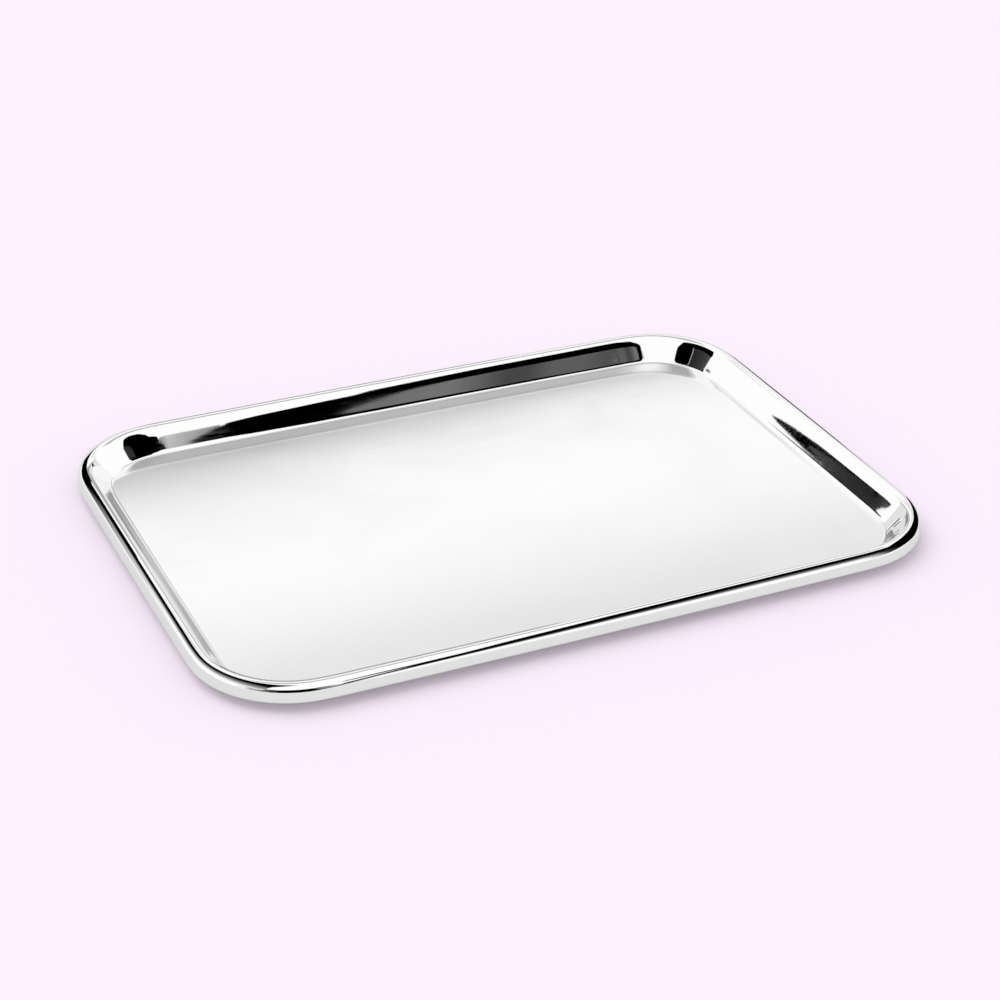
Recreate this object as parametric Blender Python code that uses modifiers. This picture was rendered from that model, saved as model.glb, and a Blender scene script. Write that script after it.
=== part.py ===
"""A shallow stainless steel tray. The pan is one drawn sheet with a rolled rim, and a wire stiffens the roll.

Metres, +Z up, +X along the tray's length. The origin is under the middle of the floor, on the table.
"""

import math

import bmesh
import bpy

# The whole tray.
TRAY_LENGTH = 0.350
TRAY_WIDTH = 0.250
TRAY_HEIGHT = 0.012
SHEET = 0.0007

# The outline, seen from above. The sides bulge a little, as drawn sheet does.
CORNER_RADIUS = 0.045
LONG_SIDE_CROWN = 0.0014
SHORT_SIDE_CROWN = 0.0004

# The rim's section. An inset is measured inwards from the outline.
FLOOR_INSET = 0.016
COVE_RADIUS = 0.0018
CREST_INSET = 0.0045
CREST_RADIUS = 0.004
HEM_RADIUS = 0.001
HEM_HEIGHT = 0.0042
ROLL_INSET = 0.0079
ROLL_RADIUS = 0.0014
ROLL_LIP = 0.0008

# The wire inside the rolled rim.
WIRE_DIAMETER = 0.005
WIRE_INSET = 0.0044
WIRE_HEIGHT = 0.00775
WIRE_BUTT_GAP = 0.0006

# How finely curves are cut into straight steps.
SIDE_STEPS = 4
CORNER_STEPS = 14
INNER_CREST_STEPS = 5
OUTER_CREST_STEPS = 7
TIGHT_ARC_STEPS = 4
WIRE_BEVEL_RESOLUTION = 2

COLLECTION_NAME = "steel_tray"
TRAY_STEEL = (0.78, 0.78, 0.79, 1.0)
TRAY_ROUGHNESS = 0.08
WIRE_STEEL = (0.60, 0.61, 0.62, 1.0)
WIRE_ROUGHNESS = 0.35


def clear_scene():
    """Remove what the startup scene holds."""
    for obj in list(bpy.data.objects):
        bpy.data.objects.remove(obj)


def part_collection():
    """The collection that holds the tray's parts."""
    collection = bpy.data.collections.new(COLLECTION_NAME)
    bpy.context.scene.collection.children.link(collection)
    return collection


def steel(name, colour, roughness):
    """A polished metal of one colour."""
    material = bpy.data.materials.new(name)
    material.use_nodes = True
    shader = material.node_tree.nodes["Principled BSDF"]
    shader.inputs["Base Color"].default_value = colour
    shader.inputs["Metallic"].default_value = 1.0
    shader.inputs["Roughness"].default_value = roughness
    material.diffuse_color = colour
    return material


def arc(centre, radius, start, end, steps):
    """Points along a circular arc, both ends included. Angles are in radians, anticlockwise from +X."""
    turns = [start + (end - start) * step / steps for step in range(steps + 1)]
    return [(centre[0] + radius * math.cos(turn), centre[1] + radius * math.sin(turn)) for turn in turns]


def arc_radius(half_span, crown):
    """The radius of the arc that rises by crown over twice half_span."""
    return (half_span**2 + crown**2) / (2 * crown)


def circles_meet(centre_a, radius_a, centre_b, radius_b):
    """The crossing of two circles that lies to the right of the way from a to b."""
    span_x = centre_b[0] - centre_a[0]
    span_y = centre_b[1] - centre_a[1]
    span = math.hypot(span_x, span_y)
    along = (span**2 + radius_a**2 - radius_b**2) / (2 * span)
    aside = math.sqrt(radius_a**2 - along**2)
    x = centre_a[0] + (span_x * along + span_y * aside) / span
    y = centre_a[1] + (span_y * along - span_x * aside) / span
    return x, y


def quarter_outline(inset):
    """The outline's quarter from the middle of the right side to the middle of the rear side."""
    half_length = TRAY_LENGTH / 2
    half_width = TRAY_WIDTH / 2
    rear_radius = arc_radius(half_length, LONG_SIDE_CROWN)
    right_radius = arc_radius(half_width, SHORT_SIDE_CROWN)
    rear_centre = (0.0, half_width - rear_radius)
    right_centre = (half_length - right_radius, 0.0)
    corner = circles_meet(
        rear_centre, rear_radius - CORNER_RADIUS, right_centre, right_radius - CORNER_RADIUS
    )
    right_turn = math.atan2(corner[1] - right_centre[1], corner[0] - right_centre[0])
    rear_turn = math.atan2(corner[1] - rear_centre[1], corner[0] - rear_centre[0])
    right_side = arc(right_centre, right_radius - inset, 0.0, right_turn, SIDE_STEPS)
    bend = arc(corner, CORNER_RADIUS - inset, right_turn, rear_turn, CORNER_STEPS)
    rear_side = arc(rear_centre, rear_radius - inset, rear_turn, math.pi / 2, SIDE_STEPS)
    return right_side[:-1] + bend + rear_side[1:]


def outline(inset):
    """The closed outline, anticlockwise from the middle of the right side."""
    first = quarter_outline(inset)
    rear = first + [(-x, y) for x, y in reversed(first[:-1])]
    front = [(x, -y) for x, y in reversed(rear[1:-1])]
    return rear + front


def poly_curve(name, points, cyclic):
    """A curve object through points, with straight steps between them."""
    curve = bpy.data.curves.new(name, "CURVE")
    curve.dimensions = "3D"
    curve.twist_mode = "Z_UP"
    spline = curve.splines.new("POLY")
    spline.points.add(len(points) - 1)
    for point, place in zip(spline.points, points):
        point.co = (*place, 1.0)
    spline.use_cyclic_u = cyclic
    return bpy.data.objects.new(name, curve)


def rim_section():
    """The visible line as (inset, height) points, from the floor over the crest and round the roll."""
    cove = (FLOOR_INSET, SHEET + COVE_RADIUS)
    crest = (CREST_INSET, TRAY_HEIGHT - CREST_RADIUS)
    hem = (HEM_RADIUS, HEM_HEIGHT + HEM_RADIUS)
    roll = (ROLL_INSET - ROLL_RADIUS, HEM_HEIGHT + ROLL_RADIUS)

    # The wall is the straight line that leaves the cove's arc and meets the crest's arc.
    run = cove[0] - crest[0]
    rise = crest[1] - cove[1]
    wall_slope = math.atan2(rise, run) + math.asin((COVE_RADIUS + CREST_RADIUS) / math.hypot(run, rise))

    # The outer face is the straight line that touches the crest's arc and the hem's arc.
    lean = crest[0] - hem[0]
    drop = crest[1] - hem[1]
    face_lean = math.atan2(lean, drop) - math.asin((CREST_RADIUS - HEM_RADIUS) / math.hypot(lean, drop))

    up = math.pi / 2
    down = -math.pi / 2
    outwards = math.pi
    cove_arc = arc(cove, COVE_RADIUS, down, down - wall_slope, TIGHT_ARC_STEPS)
    inner_crest = arc(crest, CREST_RADIUS, up - wall_slope, up, INNER_CREST_STEPS)
    outer_crest = arc(crest, CREST_RADIUS, up, outwards - face_lean, OUTER_CREST_STEPS)
    hem_shoulder = arc(hem, HEM_RADIUS, outwards - face_lean, outwards, 1)
    hem_arc = arc(hem, HEM_RADIUS, outwards, outwards + up, TIGHT_ARC_STEPS)
    roll_arc = arc(roll, ROLL_RADIUS, down, 0.0, TIGHT_ARC_STEPS)
    lip = [(ROLL_INSET, roll[1] + ROLL_LIP)]
    return cove_arc + inner_crest + outer_crest[1:] + hem_shoulder + hem_arc[1:] + roll_arc + lip


def rim_surface():
    """The section swept once round the outline, as an open surface."""
    section = poly_curve("rim_section", [(-inset, height, 0.0) for inset, height in rim_section()], False)
    sweep = poly_curve("rim_sweep", [(x, y, 0.0) for x, y in outline(0.0)], True)
    sweep.data.bevel_mode = "OBJECT"
    sweep.data.bevel_object = section
    scene_objects = bpy.context.scene.collection.objects
    for guide in (section, sweep):
        scene_objects.link(guide)
    bpy.context.view_layer.update()
    surface = bpy.data.meshes.new_from_object(sweep.evaluated_get(bpy.context.evaluated_depsgraph_get()))
    for guide in (sweep, section):
        bpy.data.objects.remove(guide)
    return surface


def add_floor(mesh):
    """Close the inner edge of the rim with the tray's flat floor, and turn every face to the visible side."""
    shape = bmesh.new()
    shape.from_mesh(mesh)
    inner_edge = [
        edge
        for edge in shape.edges
        if edge.is_boundary and all(vertex.co.z < HEM_HEIGHT for vertex in edge.verts)
    ]
    floor = bmesh.ops.edgeloop_fill(shape, edges=inner_edge)["faces"][0]
    bmesh.ops.recalc_face_normals(shape, faces=shape.faces)
    if floor.normal.z < 0:
        bmesh.ops.reverse_faces(shape, faces=shape.faces)
    shape.to_mesh(mesh)
    shape.free()


def tray_pan():
    """The drawn sheet: floor, cove, wall, crest, outer face and roll in one piece."""
    mesh = rim_surface()
    mesh.name = "tray_pan"
    add_floor(mesh)
    mesh.materials.clear()
    mesh.materials.append(steel("polished_steel", TRAY_STEEL, TRAY_ROUGHNESS))
    pan = bpy.data.objects.new("tray_pan", mesh)
    mesh.shade_smooth()
    sheet = pan.modifiers.new("sheet", "SOLIDIFY")
    sheet.thickness = SHEET
    sheet.offset = -1.0
    sheet.use_even_offset = True
    return pan


def wire_route():
    """The wire's line: all the way round inside the roll, with its two ends meeting at the rear."""
    ring = outline(WIRE_INSET)
    rear_middle = len(ring) // 4
    ring = ring[rear_middle:] + ring[:rear_middle]
    rear_y = ring[0][1]
    first_end = (-WIRE_BUTT_GAP / 2, rear_y)
    last_end = (WIRE_BUTT_GAP / 2, rear_y)
    return [(x, y, WIRE_HEIGHT) for x, y in [first_end, *ring[1:], last_end]]


def rim_wire():
    """The round wire that the rim is rolled over."""
    wire = poly_curve("rim_wire", wire_route(), False)
    wire.data.bevel_depth = WIRE_DIAMETER / 2
    wire.data.bevel_resolution = WIRE_BEVEL_RESOLUTION
    wire.data.use_fill_caps = True
    wire.data.materials.append(steel("drawn_wire", WIRE_STEEL, WIRE_ROUGHNESS))
    return wire


def build():
    """Clear the scene and make the tray's two parts."""
    clear_scene()
    parts = part_collection()
    for part in (tray_pan(), rim_wire()):
        parts.objects.link(part)


build()
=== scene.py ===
"""The looks of the steel tray: a mirror-polished pan, its rim wire, a pale table and a soft studio.

Metres, +Z up, +X along the tray, +Y towards its rear side. The tray stands on the table at Z = 0.
"""

import math

import bpy
from mathutils import Euler, Matrix, Vector


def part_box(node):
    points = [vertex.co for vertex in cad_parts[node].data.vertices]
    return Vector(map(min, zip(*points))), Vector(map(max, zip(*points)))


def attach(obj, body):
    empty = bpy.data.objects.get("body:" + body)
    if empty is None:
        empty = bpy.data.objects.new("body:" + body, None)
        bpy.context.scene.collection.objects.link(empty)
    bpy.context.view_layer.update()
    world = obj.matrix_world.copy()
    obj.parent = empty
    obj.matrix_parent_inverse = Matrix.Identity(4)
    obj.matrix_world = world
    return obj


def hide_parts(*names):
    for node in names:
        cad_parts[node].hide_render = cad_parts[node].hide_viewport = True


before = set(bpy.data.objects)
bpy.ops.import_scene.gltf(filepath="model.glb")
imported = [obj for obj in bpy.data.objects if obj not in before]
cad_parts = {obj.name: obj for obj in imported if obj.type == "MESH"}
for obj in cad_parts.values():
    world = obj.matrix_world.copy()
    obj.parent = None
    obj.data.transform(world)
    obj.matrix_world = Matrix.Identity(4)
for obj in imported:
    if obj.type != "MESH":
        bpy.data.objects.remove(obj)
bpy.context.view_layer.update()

# The tray's own sizes, in metres. The outside comes from the frame, and the rest repeats the CAD design.
TRAY_LOW, TRAY_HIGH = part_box("tray_pan")
HALF_LENGTH = (TRAY_HIGH.x - TRAY_LOW.x) / 2
HALF_WIDTH = (TRAY_HIGH.y - TRAY_LOW.y) / 2
TRAY_HEIGHT = TRAY_HIGH.z
SHEET = 0.0007
CORNER_RADIUS = 0.045
LONG_SIDE_CROWN = 0.0014
SHORT_SIDE_CROWN = 0.0004
CORNER_EASE = 0.0003
EASE_RADIUS = 0.150
FLOOR_INSET = 0.016
COVE_RADIUS = 0.0018
CREST_INSET = 0.0045
CREST_RADIUS = 0.004
BLEND_RADIUS = 0.060
BLEND_TURN = math.radians(3.5)
FOOT_RADIUS = 0.040
FOOT_TURN = math.radians(2.0)
HEM_RADIUS = 0.001
HEM_HEIGHT = 0.0042
ROLL_INSET = 0.0079
ROLL_RADIUS = 0.0014
ROLL_LIP = 0.0008
WIRE_INSET = 0.0044
WIRE_BUTT_GAP = 0.0006

# How finely the tray's curves are cut into straight steps.
SIDE_STEPS = 40
CORNER_STEPS = 48
COVE_STEPS = 14
FOOT_STEPS = 8
WALL_STEPS = 6
BLEND_STEPS = 12
CREST_STEPS = 48
FACE_STEPS = 4
HEM_STEPS = 14
ROLL_STEPS = 10
WIRE_SIDE_STEPS = 8
WIRE_CORNER_STEPS = 24
WIRE_ROUNDNESS = 7
FLOOR_RING_INSETS = (0.012, 0.006, 0.003, 0.0015, 0.0006)

# The camera, from its aim on the tray's floor.
CAMERA_AIM = Vector((0.0050, 0.0039, SHEET))
CAMERA_AZIMUTH = math.radians(-25.415)
CAMERA_ELEVATION = math.radians(29.308)
CAMERA_ROLL = math.radians(1.154)
CAMERA_DISTANCE = 1.0859
CAMERA_LENS = 83.36
CAMERA_SENSOR = 36

# Colours of the steel: the polished side, the mill finish behind it, and the wire.
STEEL_LIGHT = (0.93, 0.93, 0.935, 1.0)
STEEL_DARK = (0.912, 0.912, 0.917, 1.0)
STEEL_WARM = (0.918, 0.914, 0.906, 1.0)
MILL_LIGHT = (0.62, 0.62, 0.61, 1.0)
MILL_DARK = (0.50, 0.50, 0.50, 1.0)
WIRE_LIGHT = (0.58, 0.58, 0.59, 1.0)
WIRE_DARK = (0.40, 0.40, 0.41, 1.0)
WIRE_SPOT = (0.30, 0.24, 0.20, 1.0)

# The steel's gloss. The floor's fine satin gives way to the rim's polish between two heights over it.
RIM_ROUGHNESS = 0.015
RIM_ROUGHNESS_RISE = 0.02
FLOOR_ROUGHNESS = 0.095
FLOOR_ROUGHNESS_SWING = 0.02
SATIN_TOP = 0.00005
POLISH_START = 0.0005

# The table and the light. The table has a faint glow of its own, which lifts the tray's shadow.
TABLE_HALF_SIZE = 5
TABLE_PALE = (0.838, 0.737, 0.846, 1.0)
TABLE_NEUTRAL = (0.69, 0.69, 0.69, 1.0)
TABLE_GLOW = 0.163
BACKDROP = (0.991, 0.871, 1.0, 1.0)
SKY_LEVEL = 1.07
FILL_LEVEL = 0.775
KEY_STRENGTH = 0.905
KEY_SPREAD = math.radians(56)
KEY_TURN = (math.radians(-23), math.radians(-20), 0.0)

# Heights of the studio cards over the tray. The rim sees a low card from each of its places at a different
# angle and a high one from all of them alike, so each dark gap hangs at the height that suits its spread.
HIGH = 3.0
FAR = 1.0
NEAR = 0.2
LOW = 0.1

# How far a card that lies over another one hangs from it.
CARD_GAP = 0.005
SMALL_CARD_GAP = 0.001

# The point over the tray's front left corner that the dark gap in front of it spreads from.
FRONT_LEFT = Vector((-0.15, -0.11, NEAR))
FRONT_LEFT_REACH = (0.27, 3.0)

# Brightness of that gap at each turn about the point, in degrees from +X.
FRONT_LEFT_LEVELS = (
    (0.95, -168),
    (0.45, -154),
    (0.22, -143),
    (0.05, -132),
    (0.0, -122),
    (0.0, -88),
    (0.2, -80),
    (0.7, -72),
)

# The backdrop behind the tray: its ends, how far back it stands, and how its bands tilt about one place.
SWEEP_ENDS = (-0.4, 2.4)
SWEEP_BACK = 1.5
SWEEP_TILT = -0.022
SWEEP_PIVOT = 0.66

# Height up the backdrop and brightness there.
SWEEP_LEVELS = (
    (0.00, 0.82),
    (0.62, 0.82),
    (0.70, 0.40),
    (0.785, 0.34),
    (0.797, 0.95),
    (0.815, 1.02),
    (0.88, 1.06),
    (0.95, 1.07),
    (1.01, 1.03),
    (1.06, 0.96),
    (1.12, 0.82),
    (1.17, 0.78),
    (1.22, 1.05),
    (2.00, 1.05),
)

# Panels in front of the backdrop's foot: name, brightness, and reach along X. All are as high.
SWEEP_PANELS = (
    ("rear_low", 0.3, (0.20, 0.66)),
    ("right_low", 0.0, (1.30, 1.60)),
)
SWEEP_PANEL_HEIGHTS = (0.0, 0.60)


def arc(centre, radius, start, end, steps):
    """Points along a circular arc, both ends included. Angles are in radians, anticlockwise from +X."""
    turns = [start + (end - start) * step / steps for step in range(steps + 1)]
    return [(centre[0] + radius * math.cos(turn), centre[1] + radius * math.sin(turn)) for turn in turns]


def line(start, end, steps):
    """Points between two points, both left out."""
    return [
        (start[0] + (end[0] - start[0]) * step / steps, start[1] + (end[1] - start[1]) * step / steps)
        for step in range(1, steps)
    ]


def arc_radius(half_span, crown):
    """The radius of the arc that rises by crown over twice half_span."""
    return (half_span**2 + crown**2) / (2 * crown)


def meeting_point(first, first_reach, second, second_reach):
    """Where two circles cross, on the left of the way from the first centre to the second."""
    span_x = second[0] - first[0]
    span_y = second[1] - first[1]
    span = math.hypot(span_x, span_y)
    along = (span**2 + first_reach**2 - second_reach**2) / (2 * span)
    aside = math.sqrt(first_reach**2 - along**2)
    return (
        first[0] + (span_x * along - span_y * aside) / span,
        first[1] + (span_y * along + span_x * aside) / span,
    )


def turn_of(start, end):
    """The direction from one point to another, in radians from +X."""
    return math.atan2(end[1] - start[1], end[0] - start[0])


def outline(inset, side_steps, corner_steps):
    """The closed outline at an inset, anticlockwise from the middle of the right side.

    Each corner is a tight arc, eased into the two long side arcs by a wider arc at either end.
    """
    rear_radius = arc_radius(HALF_LENGTH, LONG_SIDE_CROWN)
    right_radius = arc_radius(HALF_WIDTH, SHORT_SIDE_CROWN)
    rear_centre = (0.0, HALF_WIDTH - rear_radius)
    right_centre = (HALF_LENGTH - right_radius, 0.0)
    corner = meeting_point(
        right_centre, right_radius - CORNER_RADIUS, rear_centre, rear_radius - CORNER_RADIUS
    )
    tight = CORNER_RADIUS - CORNER_EASE
    rear_ease = meeting_point(rear_centre, rear_radius - EASE_RADIUS, corner, EASE_RADIUS - tight)
    right_ease = meeting_point(corner, EASE_RADIUS - tight, right_centre, right_radius - EASE_RADIUS)
    turns = [
        0.0,
        turn_of(right_centre, right_ease),
        turn_of(right_ease, corner),
        turn_of(rear_ease, corner),
        turn_of(rear_centre, rear_ease),
        math.pi / 2,
    ]
    first = (
        arc(right_centre, right_radius - inset, turns[0], turns[1], side_steps)[:-1]
        + arc(right_ease, EASE_RADIUS - inset, turns[1], turns[2], corner_steps // 4)[:-1]
        + arc(corner, tight - inset, turns[2], turns[3], corner_steps)[:-1]
        + arc(rear_ease, EASE_RADIUS - inset, turns[3], turns[4], corner_steps // 4)[:-1]
        + arc(rear_centre, rear_radius - inset, turns[4], turns[5], side_steps)
    )
    rear = first + [(-x, y) for x, y in reversed(first[:-1])]
    front = [(x, -y) for x, y in reversed(rear[1:-1])]
    return rear + front


def rim_section():
    """The rim's visible line as (inset, height) points, from the floor over the crest and round the roll.

    The wall is straight, with a long easy curve at its foot and another where it runs into the crest.
    """
    cove = (FLOOR_INSET, SHEET + COVE_RADIUS)
    crest = (CREST_INSET, TRAY_HEIGHT - CREST_RADIUS)
    hem = (HEM_RADIUS, HEM_HEIGHT + HEM_RADIUS)
    roll = (ROLL_INSET - ROLL_RADIUS, HEM_HEIGHT + ROLL_RADIUS)
    run = cove[0] - crest[0]
    rise = crest[1] - cove[1]
    wall_slope = math.atan2(rise, run) + math.asin((COVE_RADIUS + CREST_RADIUS) / math.hypot(run, rise))
    lean = crest[0] - hem[0]
    drop = crest[1] - hem[1]
    face_lean = math.atan2(lean, drop) - math.asin((CREST_RADIUS - HEM_RADIUS) / math.hypot(lean, drop))
    up = math.pi / 2
    down = -math.pi / 2
    outwards = math.pi
    crest_start = up - wall_slope + BLEND_TURN
    crest_arc = arc(crest, CREST_RADIUS, crest_start, outwards - face_lean, CREST_STEPS)
    reach = BLEND_RADIUS - CREST_RADIUS
    blend = (crest[0] - reach * math.cos(crest_start), crest[1] - reach * math.sin(crest_start))
    blend_arc = arc(blend, BLEND_RADIUS, up - wall_slope, crest_start, BLEND_STEPS)
    cove_slope = wall_slope - FOOT_TURN
    foot_height = cove[1] - COVE_RADIUS * math.cos(cove_slope)
    foot_rise = FOOT_RADIUS * (math.cos(cove_slope) - math.cos(wall_slope))
    foot_run = FOOT_RADIUS * (math.sin(wall_slope) - math.sin(cove_slope))
    wall_run = (blend_arc[0][1] - foot_height - foot_rise) / math.tan(wall_slope)
    foot_inset = blend_arc[0][0] + wall_run + foot_run
    cove = (foot_inset + COVE_RADIUS * math.sin(cove_slope), cove[1])
    cove_arc = arc(cove, COVE_RADIUS, down, down - cove_slope, COVE_STEPS)
    foot_centre = (
        foot_inset + FOOT_RADIUS * math.sin(cove_slope),
        foot_height + FOOT_RADIUS * math.cos(cove_slope),
    )
    foot_arc = arc(foot_centre, FOOT_RADIUS, down - cove_slope, down - wall_slope, FOOT_STEPS)
    hem_arc = arc(hem, HEM_RADIUS, outwards - face_lean, outwards + up, HEM_STEPS)
    roll_arc = arc(roll, ROLL_RADIUS, down, 0.0, ROLL_STEPS)
    wall = line(foot_arc[-1], blend_arc[0], WALL_STEPS)
    face = line(crest_arc[-1], hem_arc[0], FACE_STEPS)
    lip = [(ROLL_INSET, roll[1] + ROLL_LIP)]
    return cove_arc + foot_arc[1:] + wall + blend_arc[:-1] + crest_arc + face + hem_arc + roll_arc + lip


def pan_mesh():
    """The sheet's visible surface: the floor, and a ring of the outline for each point of the section."""
    section = rim_section()
    floor_rings = [(section[0][0] + step, SHEET) for step in FLOOR_RING_INSETS]
    rings = []
    for inset, height in floor_rings + section:
        rings.append([(x, y, height) for x, y in outline(inset, SIDE_STEPS, CORNER_STEPS)])
    count = len(rings[0])
    points = [point for ring in rings for point in ring]
    faces = [tuple(range(count))]
    for row in range(len(rings) - 1):
        for step in range(count):
            ahead = (step + 1) % count
            low = row * count
            high = low + count
            faces.append((low + step, high + step, high + ahead, low + ahead))
    mesh = bpy.data.meshes.new("tray_shell")
    mesh.from_pydata(points, [], faces)
    mesh.shade_smooth()
    return mesh


def wire_points(steps_side, steps_corner):
    """The wire's route, from one end of its butt joint at the middle of the rear side to the other."""
    route = outline(WIRE_INSET, steps_side, steps_corner)
    joint = max(range(len(route)), key=lambda place: route[place][1] - abs(route[place][0]))
    ordered = route[joint:] + route[: joint + 1]
    half_gap = WIRE_BUTT_GAP / 2
    first = (ordered[0][0] - half_gap, ordered[0][1])
    last = (ordered[-1][0] + half_gap, ordered[-1][1])
    return [first] + ordered[1:-1] + [last]


class Nodes:
    """A small helper that adds shader nodes to one material and links them."""

    def __init__(self, name):
        self.material = bpy.data.materials.new(name)
        self.material.use_nodes = True
        self.tree = self.material.node_tree
        self.shader = self.tree.nodes["Principled BSDF"]
        self.place = self.add("ShaderNodeTexCoord").outputs["Object"]

    def add(self, kind, **settings):
        node = self.tree.nodes.new(kind)
        for key, value in settings.items():
            setattr(node, key, value)
        return node

    def link(self, start, end):
        self.tree.links.new(start, end)

    def noise(self, scale, detail=3.0, stretch=(1.0, 1.0, 1.0), distortion=0.0, rough=0.5):
        """Noise over the object's own coordinates, with the grain drawn out by stretch."""
        mapping = self.add("ShaderNodeMapping")
        mapping.inputs["Scale"].default_value = stretch
        self.link(self.place, mapping.inputs["Vector"])
        texture = self.add("ShaderNodeTexNoise")
        texture.inputs["Scale"].default_value = scale
        texture.inputs["Detail"].default_value = detail
        texture.inputs["Roughness"].default_value = rough
        texture.inputs["Distortion"].default_value = distortion
        self.link(mapping.outputs["Vector"], texture.inputs["Vector"])
        return texture.outputs["Fac"]

    def ramp(self, value, low, high, out_low=0.0, out_high=1.0):
        """A smooth change from out_low to out_high as value goes from low to high."""
        node = self.add("ShaderNodeMapRange", interpolation_type="SMOOTHSTEP")
        self.link(value, node.inputs["Value"])
        node.inputs["From Min"].default_value = low
        node.inputs["From Max"].default_value = high
        node.inputs["To Min"].default_value = out_low
        node.inputs["To Max"].default_value = out_high
        return node.outputs["Result"]

    def maths(self, operation, first, second):
        node = self.add("ShaderNodeMath", operation=operation)
        for socket, value in zip(node.inputs, (first, second)):
            if isinstance(value, float):
                socket.default_value = value
            else:
                self.link(value, socket)
        return node.outputs["Value"]

    def mix_colour(self, factor, first, second):
        node = self.add("ShaderNodeMix", data_type="RGBA")
        self.link(factor, node.inputs["Factor"])
        for socket, value in ((node.inputs["A"], first), (node.inputs["B"], second)):
            if isinstance(value, tuple):
                socket.default_value = value
            else:
                self.link(value, socket)
        return node.outputs["Result"]

    def bump(self, height, strength, distance):
        node = self.add("ShaderNodeBump")
        node.inputs["Strength"].default_value = strength
        node.inputs["Distance"].default_value = distance
        self.link(height, node.inputs["Height"])
        self.link(node.outputs["Normal"], self.shader.inputs["Normal"])


def polished_steel():
    """Stainless sheet: a mirror-polished rim and a fine satin floor, with rubbing marks and smudges."""
    steel = Nodes("polished_steel")
    steel.shader.inputs["Metallic"].default_value = 1.0
    height = steel.add("ShaderNodeSeparateXYZ")
    steel.link(steel.place, height.inputs["Vector"])
    rim = steel.ramp(height.outputs["Z"], SHEET + SATIN_TOP, SHEET + POLISH_START)
    smudge = steel.noise(14.0, detail=4.0, distortion=0.6)
    lines = steel.noise(60.0, detail=2.0, stretch=(1.0, 14.0, 14.0))
    fine = steel.noise(900.0, detail=2.0)
    tint = steel.mix_colour(smudge, STEEL_LIGHT, STEEL_DARK)
    tint = steel.mix_colour(steel.ramp(lines, 0.35, 0.75, 0.0, 0.35), tint, STEEL_WARM)
    steel.link(tint, steel.shader.inputs["Base Color"])
    floor_low = FLOOR_ROUGHNESS - FLOOR_ROUGHNESS_SWING
    floor_high = FLOOR_ROUGHNESS + FLOOR_ROUGHNESS_SWING
    floor_roughness = steel.ramp(smudge, 0.3, 0.7, floor_low, floor_high)
    rim_roughness = steel.ramp(smudge, 0.3, 0.7, RIM_ROUGHNESS, RIM_ROUGHNESS + RIM_ROUGHNESS_RISE)
    spread = steel.add("ShaderNodeMix", data_type="FLOAT")
    steel.link(rim, spread.inputs["Factor"])
    steel.link(floor_roughness, spread.inputs["A"])
    steel.link(rim_roughness, spread.inputs["B"])
    marks = steel.ramp(lines, 0.5, 0.8, 0.0, 0.02)
    steel.link(steel.maths("ADD", spread.outputs["Result"], marks), steel.shader.inputs["Roughness"])
    steel.bump(steel.maths("ADD", lines, fine), strength=0.004, distance=0.0001)
    return steel.material


def mill_finish():
    """The hidden back of the sheet: the duller, greyer finish that it left the mill with."""
    steel = Nodes("mill_finish")
    steel.shader.inputs["Metallic"].default_value = 1.0
    grain = steel.noise(40.0, detail=4.0, stretch=(1.0, 20.0, 1.0))
    cloud = steel.noise(9.0, detail=4.0, distortion=0.8)
    tint = steel.mix_colour(cloud, MILL_LIGHT, MILL_DARK)
    steel.link(tint, steel.shader.inputs["Base Color"])
    steel.link(steel.ramp(grain, 0.3, 0.7, 0.28, 0.42), steel.shader.inputs["Roughness"])
    steel.bump(grain, strength=0.15, distance=0.0002)
    return steel.material


def drawn_wire():
    """Plain steel wire, dull and lightly streaked from the drawing die."""
    steel = Nodes("drawn_wire")
    steel.shader.inputs["Metallic"].default_value = 1.0
    streak = steel.noise(300.0, detail=3.0, stretch=(0.2, 0.2, 3.0))
    spots = steel.noise(120.0, detail=4.0)
    tint = steel.mix_colour(streak, WIRE_LIGHT, WIRE_DARK)
    tint = steel.mix_colour(steel.ramp(spots, 0.62, 0.75, 0.0, 0.6), tint, WIRE_SPOT)
    steel.link(tint, steel.shader.inputs["Base Color"])
    steel.link(steel.ramp(streak, 0.3, 0.7, 0.30, 0.46), steel.shader.inputs["Roughness"])
    steel.bump(streak, strength=0.2, distance=0.0001)
    return steel.material


def tray_shell():
    """The pressed pan: its surface, thickened to the sheet, polished on show and mill-finished behind."""
    shell = bpy.data.objects.new("tray_shell", pan_mesh())
    bpy.context.scene.collection.objects.link(shell)
    shell.data.materials.append(polished_steel())
    shell.data.materials.append(mill_finish())
    thicken = shell.modifiers.new("sheet", "SOLIDIFY")
    thicken.thickness = SHEET
    thicken.offset = -1
    thicken.use_even_offset = True
    thicken.material_offset = 1
    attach(shell, "root")
    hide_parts("tray_pan")
    return shell


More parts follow.
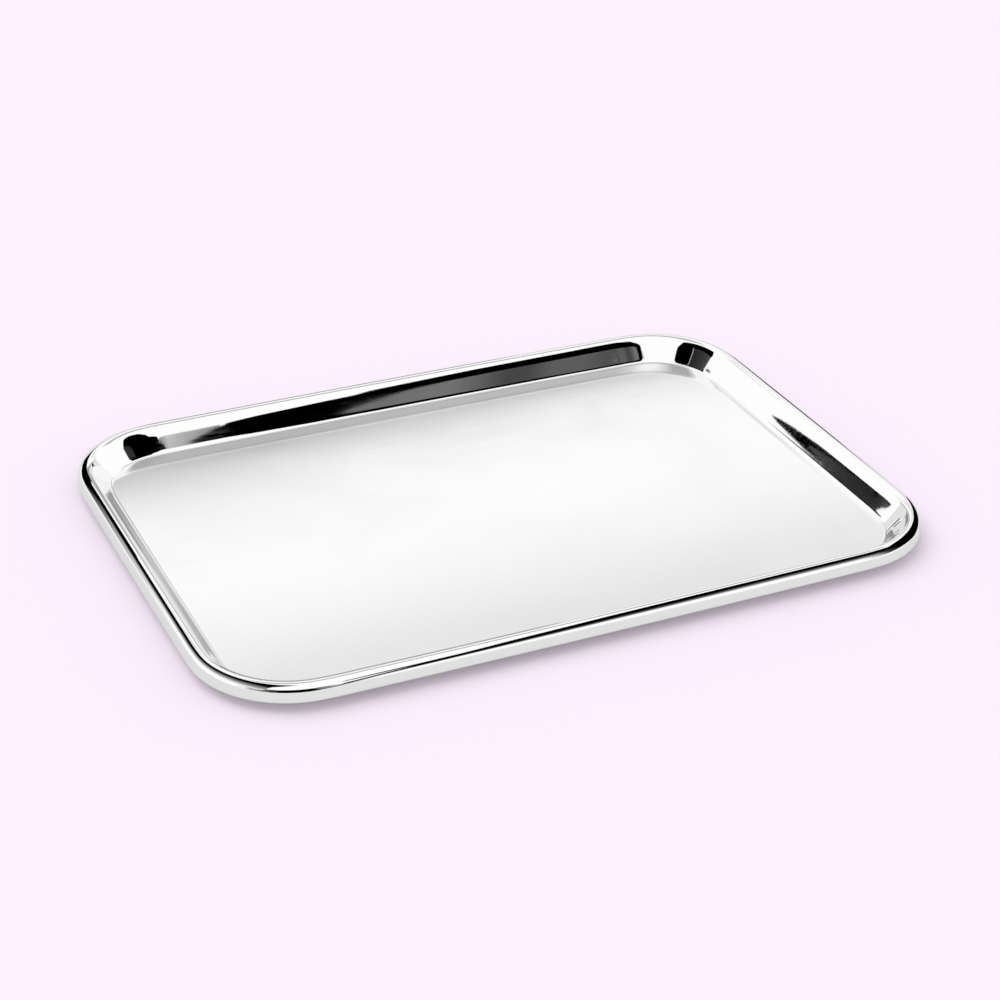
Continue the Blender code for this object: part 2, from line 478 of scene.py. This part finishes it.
def rim_wire():
    """The wire inside the rolled rim, bent to the rim's outline, with its ends butted at the rear."""
    low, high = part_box("rim_wire")
    height = (low.z + high.z) / 2
    points = wire_points(WIRE_SIDE_STEPS, WIRE_CORNER_STEPS)
    curve = bpy.data.curves.new("wire_route", "CURVE")
    curve.dimensions = "3D"
    curve.bevel_depth = (high.z - low.z) / 2
    curve.bevel_resolution = WIRE_ROUNDNESS
    curve.use_fill_caps = True
    spline = curve.splines.new("POLY")
    spline.points.add(len(points) - 1)
    for point, (x, y) in zip(spline.points, points):
        point.co = (x, y, height, 1.0)
    source = bpy.data.objects.new("wire_source", curve)
    bpy.context.scene.collection.objects.link(source)
    mesh = bpy.data.meshes.new_from_object(source.evaluated_get(bpy.context.evaluated_depsgraph_get()))
    bpy.data.objects.remove(source)
    mesh.shade_smooth()
    wire = bpy.data.objects.new("wire_ring", mesh)
    bpy.context.scene.collection.objects.link(wire)
    wire.data.materials.clear()
    wire.data.materials.append(drawn_wire())
    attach(wire, "root")
    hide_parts("rim_wire")
    return wire


def card_material(name):
    """A light-giving surface with the brightness that its mesh holds at each point."""
    material = bpy.data.materials.new(name)
    material.use_nodes = True
    tree = material.node_tree
    tree.nodes.clear()
    reader = tree.nodes.new("ShaderNodeVertexColor")
    reader.layer_name = "level"
    glow = tree.nodes.new("ShaderNodeEmission")
    output = tree.nodes.new("ShaderNodeOutputMaterial")
    tree.links.new(reader.outputs["Color"], glow.inputs["Color"])
    tree.links.new(glow.outputs["Emission"], output.inputs["Surface"])
    return material


def reflected_only(card):
    """Keep a studio card out of view and out of the lighting, so that only the steel shows it."""
    card.visible_camera = False
    card.visible_diffuse = False
    card.visible_shadow = False
    card.visible_transmission = False


def studio_card(name, rows):
    """A studio card through rows of points, where brightness runs smoothly from each row's to the next."""
    corners = [corner for level, row in rows for corner in row]
    width = len(rows[0][1])
    faces = []
    for first in range(len(rows) - 1):
        for step in range(width - 1):
            near = first * width + step
            faces.append((near, near + 1, near + width + 1, near + width))
    mesh = bpy.data.meshes.new(name)
    mesh.from_pydata(corners, [], faces)
    shade = mesh.color_attributes.new("level", "FLOAT_COLOR", "POINT")
    levels = [level for level, row in rows for corner in row]
    for point, level in zip(shade.data, levels):
        point.color = (level, level, level, 1.0)
    mesh.materials.append(card_material(name))
    card = bpy.data.objects.new(name, mesh)
    bpy.context.scene.collection.objects.link(card)
    reflected_only(card)


def overhead(height, *places):
    """Points at one height over the table."""
    return [(x, y, height) for x, y in places]


def level_with(row, y):
    """A straight line of points, one for each point of another row, all at one place along Y."""
    return [(x, y, height) for x, other, height in row]


def stage_floor():
    """The pale table: lavender white to the camera, neutral to the steel and the light, faintly aglow."""
    mesh = bpy.data.meshes.new("stage_floor")
    signs = ((-1, -1), (1, -1), (1, 1), (-1, 1))
    corners = [(TABLE_HALF_SIZE * across, TABLE_HALF_SIZE * back, 0) for across, back in signs]
    mesh.from_pydata(corners, [], [(0, 1, 2, 3)])
    floor = bpy.data.objects.new("stage_floor", mesh)
    bpy.context.scene.collection.objects.link(floor)
    material = bpy.data.materials.new("stage_floor")
    material.use_nodes = True
    tree = material.node_tree
    shader = tree.nodes["Principled BSDF"]
    shader.inputs["Roughness"].default_value = 1.0
    shader.inputs["Specular IOR Level"].default_value = 0.0
    path = tree.nodes.new("ShaderNodeLightPath")
    choice = tree.nodes.new("ShaderNodeMix")
    choice.data_type = "RGBA"
    choice.inputs["A"].default_value = TABLE_NEUTRAL
    choice.inputs["B"].default_value = TABLE_PALE
    tree.links.new(path.outputs["Is Camera Ray"], choice.inputs["Factor"])
    tree.links.new(choice.outputs["Result"], shader.inputs["Base Color"])
    tree.links.new(choice.outputs["Result"], shader.inputs["Emission Color"])
    shader.inputs["Emission Strength"].default_value = TABLE_GLOW
    mesh.materials.append(material)


def studio_light():
    """Even light from all round, and a broad soft key from behind that leaves a shadow in front."""
    world = bpy.data.worlds.new("studio")
    bpy.context.scene.world = world
    world.use_nodes = True
    tree = world.node_tree
    sky = tree.nodes["Background"]
    sky.inputs["Strength"].default_value = 1.0
    path = tree.nodes.new("ShaderNodeLightPath")
    choice = tree.nodes.new("ShaderNodeMix")
    choice.data_type = "RGBA"
    choice.inputs["B"].default_value = BACKDROP
    fill = tree.nodes.new("ShaderNodeMix")
    fill.data_type = "RGBA"
    fill.inputs["A"].default_value = (SKY_LEVEL, SKY_LEVEL, SKY_LEVEL, 1.0)
    fill.inputs["B"].default_value = (FILL_LEVEL, FILL_LEVEL, FILL_LEVEL, 1.0)
    tree.links.new(path.outputs["Is Diffuse Ray"], fill.inputs["Factor"])
    tree.links.new(fill.outputs["Result"], choice.inputs["A"])
    tree.links.new(path.outputs["Is Camera Ray"], choice.inputs["Factor"])
    tree.links.new(choice.outputs["Result"], sky.inputs["Color"])
    data = bpy.data.lights.new("key", "SUN")
    data.energy = KEY_STRENGTH
    data.angle = KEY_SPREAD
    key = bpy.data.objects.new("key", data)
    key.rotation_euler = KEY_TURN
    key.visible_glossy = False
    bpy.context.scene.collection.objects.link(key)


def add_camera():
    """The camera, from its aim, direction, distance and roll."""
    data = bpy.data.cameras.new("camera")
    data.sensor_width = CAMERA_SENSOR
    data.lens = CAMERA_LENS
    camera = bpy.data.objects.new("camera", data)
    turn = Euler((math.pi / 2 - CAMERA_ELEVATION, 0.0, CAMERA_AZIMUTH)).to_matrix()
    roll = Matrix.Rotation(CAMERA_ROLL, 3, "Z")
    camera.matrix_world = (turn @ roll).to_4x4()
    camera.location = CAMERA_AIM + turn @ Vector((0.0, 0.0, CAMERA_DISTANCE))
    bpy.context.scene.collection.objects.link(camera)
    bpy.context.scene.camera = camera


def panel_row(reach, height):
    """The two points at one height on a panel that stands just in front of the backdrop."""
    return [(x, SWEEP_BACK - CARD_GAP, height) for x in reach]


def rear_sweep():
    """The backdrop behind the tray, dark below a sharp edge, bright above it and greyer higher up."""
    rows = []
    for height, level in SWEEP_LEVELS:
        row = [(x, SWEEP_BACK, max(0.0, height + SWEEP_TILT * (x - SWEEP_PIVOT))) for x in SWEEP_ENDS]
        rows.append((level, row))
    studio_card("rear_sweep", rows)
    for name, level, reach in SWEEP_PANELS:
        studio_card(name, [(level, panel_row(reach, height)) for height in SWEEP_PANEL_HEIGHTS])


def camera_side_cards():
    """The dark gap above the camera, black at its edges and greyer within.

    The edge is the side nearer the tray, rounded at the left and drawn out to a point at the right.
    """
    edge = overhead(
        FAR,
        (0.272, -0.854),
        (0.290, -0.845),
        (0.312, -0.834),
        (0.335, -0.785),
        (0.400, -0.735),
        (0.500, -0.705),
        (0.580, -0.670),
        (0.630, -0.640),
        (0.635, -0.500),
        (0.750, -0.435),
        (1.050, -0.415),
        (1.380, -0.500),
    )
    straight = level_with(edge[:7], -1.200)
    bent = overhead(FAR, (0.700, -1.200), (0.900, -1.200), (1.100, -1.100), (1.300, -0.900), (1.400, -0.600))
    studio_card("camera_side_black", [(0.0, edge), (0.0, straight + bent)])
    under = FAR - CARD_GAP
    over = FAR + CARD_GAP
    # A soft left end to the black: brightness and place along X.
    fringe_columns = ((SKY_LEVEL, 0.190), (0.80, 0.235), (0.50, 0.265), (0.25, 0.310))
    fringe = [(level, overhead(over, (x, -0.835), (x, -1.1))) for level, x in fringe_columns]
    studio_card("camera_side_fringe", fringe)
    # The greyer panes inside the black: brightness, place along X, and the near edge along Y.
    grey_columns = (
        (0.18, 0.425, -0.853),
        (0.18, 0.450, -0.843),
        (0.18, 0.500, -0.833),
        (0.18, 0.560, -0.822),
        (0.066, 0.620, -0.808),
        (0.066, 0.645, -0.805),
        (0.117, 0.675, -0.800),
        (0.117, 0.710, -0.795),
        (0.078, 0.740, -0.790),
        (0.078, 0.750, -0.790),
    )
    rows = [(level, overhead(under, (x, y), (x, -1.1))) for level, x, y in grey_columns]
    studio_card("camera_side_grey", rows)
    light_edge = [(0.5, overhead(under, (x, -0.825), (x, -0.95))) for x in (0.751, 0.775)]
    studio_card("camera_side_light", light_edge)
    dim_near = overhead(under, (1.00, -0.650), (1.38, -0.460))
    dim_far = overhead(under, (1.00, -0.720), (1.40, -0.600))
    studio_card("camera_side_dim", [(0.03, dim_near), (0.03, dim_far)])


def left_side_cards():
    """The dark gap at the left of the studio, drawn out to a point towards the camera."""
    edge = overhead(
        FAR,
        (-0.690, -0.400),
        (-0.620, -0.200),
        (-0.520, 0.100),
        (-0.500, 0.400),
        (-0.740, 0.740),
        (-0.850, 0.950),
        (-1.150, 1.180),
    )
    outer = overhead(
        FAR,
        (-0.790, -0.420),
        (-0.950, -0.300),
        (-1.200, 0.100),
        (-1.400, 0.400),
        (-1.500, 0.700),
        (-1.500, 0.950),
        (-1.500, 1.180),
    )
    studio_card("left_side_black", [(0.0, edge), (0.0, outer)])
    under = FAR - CARD_GAP
    # The greyer part inside the black: brightness and place along Y.
    grey_rows = ((0.4, 0.15), (0.4, 0.17), (0.02, 0.19), (0.035, 0.60), (0.06, 1.00), (0.12, 1.18))
    rows = [(level, overhead(under, (-1.6, y), (-0.80 - 0.38 * y, y))) for level, y in grey_rows]
    studio_card("left_side_grey", rows)


def rear_left_card():
    """The dark gap at the rear left of the studio: a spindle, round at its far end and greyer within."""
    edge = overhead(
        NEAR,
        (-0.1525, 0.441),
        (-0.1500, 0.432),
        (-0.1470, 0.415),
        (-0.1445, 0.395),
        (-0.1410, 0.370),
        (-0.1385, 0.352),
        (-0.1370, 0.330),
        (-0.1360, 0.300),
        (-0.1360, 0.285),
    )
    outer = overhead(
        NEAR,
        (-0.1525, 0.441),
        (-0.1553, 0.432),
        (-0.1580, 0.415),
        (-0.1599, 0.395),
        (-0.1612, 0.374),
        (-0.1668, 0.362),
        (-0.1680, 0.330),
        (-0.1680, 0.300),
        (-0.1680, 0.285),
    )
    studio_card("rear_left_black", [(0.0, edge), (0.0, outer)])
    # The greyer part inside the black: brightness, place along Y, and its two edges along X.
    grey_rows = (
        (0.070, 0.388, -0.1530, -0.1500),
        (0.050, 0.372, -0.1570, -0.1470),
        (0.030, 0.345, -0.1600, -0.1440),
        (0.018, 0.305, -0.1610, -0.1420),
    )
    under = NEAR - SMALL_CARD_GAP
    rows = [(level, overhead(under, (left, y), (right, y))) for level, y, left, right in grey_rows]
    studio_card("rear_left_grey", rows)


def front_card():
    """The dark band that the front rim shows, sharp above and fading below.

    Its four lines run from the right end of the rim to the left: black between the first two, then
    grey, then clear.
    """
    upper = overhead(
        NEAR,
        (0.450, -0.085),
        (0.250, -0.085),
        (0.150, -0.095),
        (0.080, -0.130),
        (0.030, -0.190),
        (0.005, -0.260),
        (-0.005, -0.350),
        (-0.005, -0.500),
        (0.010, -0.620),
        (0.040, -0.800),
        (0.100, -1.100),
    )
    lower = overhead(
        NEAR,
        (0.450, -0.300),
        (0.270, -0.190),
        (0.180, -0.195),
        (0.110, -0.250),
        (0.070, -0.320),
        (0.045, -0.400),
        (0.030, -0.460),
        (0.025, -0.540),
        (0.040, -0.640),
        (0.075, -0.800),
        (0.130, -1.100),
    )
    grey = overhead(
        NEAR,
        (0.450, -0.400),
        (0.300, -0.270),
        (0.215, -0.285),
        (0.150, -0.350),
        (0.110, -0.410),
        (0.085, -0.460),
        (0.060, -0.520),
        (0.050, -0.580),
        (0.060, -0.660),
        (0.095, -0.800),
        (0.150, -1.100),
    )
    clear = overhead(
        NEAR,
        (0.450, -0.520),
        (0.330, -0.440),
        (0.260, -0.450),
        (0.200, -0.480),
        (0.160, -0.510),
        (0.130, -0.550),
        (0.100, -0.600),
        (0.080, -0.640),
        (0.085, -0.700),
        (0.115, -0.820),
        (0.170, -1.100),
    )
    studio_card("front_band", [(0.0, upper), (0.0, lower), (0.2, grey), (SKY_LEVEL, clear)])


def front_left_card():
    """The dark gap beyond the front left corner: a fan, darkest in its middle and clear at both sides."""
    rows = []
    for level, degrees in FRONT_LEFT_LEVELS:
        turn = math.radians(degrees)
        ahead = Vector((math.cos(turn), math.sin(turn), 0.0))
        rows.append((level, [FRONT_LEFT + ahead * reach for reach in FRONT_LEFT_REACH]))
    studio_card("front_left_dark", rows)


def left_card():
    """The dark band that the left rim shows, sharp towards the tray and fading away from it.

    Its four lines run from the front corner to beyond the rear one, in the same way as the front band's.
    """
    inner = overhead(
        LOW,
        (-0.136, -0.118),
        (-0.150, -0.100),
        (-0.175, -0.040),
        (-0.182, 0.000),
        (-0.172, 0.050),
        (-0.168, 0.110),
        (-0.165, 0.215),
        (-0.125, 0.235),
        (-0.115, 0.270),
        (-0.150, 0.400),
        (-0.200, 0.650),
    )
    core = overhead(
        LOW,
        (-0.185, -0.142),
        (-0.190, -0.100),
        (-0.210, -0.040),
        (-0.215, 0.000),
        (-0.215, 0.050),
        (-0.215, 0.110),
        (-0.215, 0.215),
        (-0.240, 0.250),
        (-0.275, 0.290),
        (-0.330, 0.400),
        (-0.420, 0.650),
    )
    grey = overhead(
        LOW,
        (-0.240, -0.190),
        (-0.240, -0.110),
        (-0.250, -0.040),
        (-0.250, 0.000),
        (-0.250, 0.050),
        (-0.250, 0.110),
        (-0.250, 0.215),
        (-0.275, 0.250),
        (-0.315, 0.290),
        (-0.390, 0.400),
        (-0.520, 0.650),
    )
    clear = overhead(
        LOW,
        (-0.330, -0.260),
        (-0.330, -0.120),
        (-0.330, -0.040),
        (-0.330, 0.000),
        (-0.330, 0.050),
        (-0.330, 0.110),
        (-0.330, 0.215),
        (-0.360, 0.250),
        (-0.410, 0.290),
        (-0.500, 0.400),
        (-0.680, 0.650),
    )
    studio_card("left_band", [(0.0, inner), (0.0, core), (0.35, grey), (SKY_LEVEL, clear)])


def right_card():
    """The dark edge that the right corner's crest shows, fading towards the front."""
    # Brightness, place along Y, and the lowest and highest point of the upright card there.
    columns = (
        (0.0, 0.035, 0.0, 0.08),
        (0.0, 0.015, 0.0, 0.15),
        (0.0, -0.03, 0.0, 0.19),
        (0.0, -0.10, 0.0, 0.21),
        (0.0, -0.17, 0.03, 0.22),
        (0.05, -0.24, 0.05, 0.22),
        (0.4, -0.30, 0.06, 0.22),
        (SKY_LEVEL, -0.38, 0.06, 0.22),
    )
    rows = [(level, [(0.3, y, low), (0.3, y, high)]) for level, y, low, high in columns]
    studio_card("right_black", rows)


def overhead_card():
    """The grey band over the tray that the foot of the rear wall shows, by way of the floor."""
    bands = ((0.95, 0.26), (0.46, 0.38), (0.46, 0.60), (0.95, 0.74))
    rows = [(level, overhead(FAR, (-0.10, y), (0.90, y))) for level, y in bands]
    studio_card("overhead_grey", rows)


def camera_side_high_card():
    """The black edge high above the camera, which reaches round to the right."""
    edge = overhead(HIGH, (1.34, -2.29), (1.64, -2.06), (1.92, -1.88), (2.26, -1.69), (2.60, -1.50))
    studio_card("camera_side_high", [(0.0, edge), (0.0, level_with(edge, -3.00))])


def studio_cards():
    """The bright backdrop, and the dark edges and gaps of the studio that the polished rim shows."""
    rear_sweep()
    camera_side_cards()
    left_side_cards()
    rear_left_card()
    front_card()
    front_left_card()
    left_card()
    right_card()
    overhead_card()
    camera_side_high_card()


tray_shell()
rim_wire()
stage_floor()
studio_light()
studio_cards()
add_camera()
bpy.context.scene.view_settings.view_transform = "Standard"
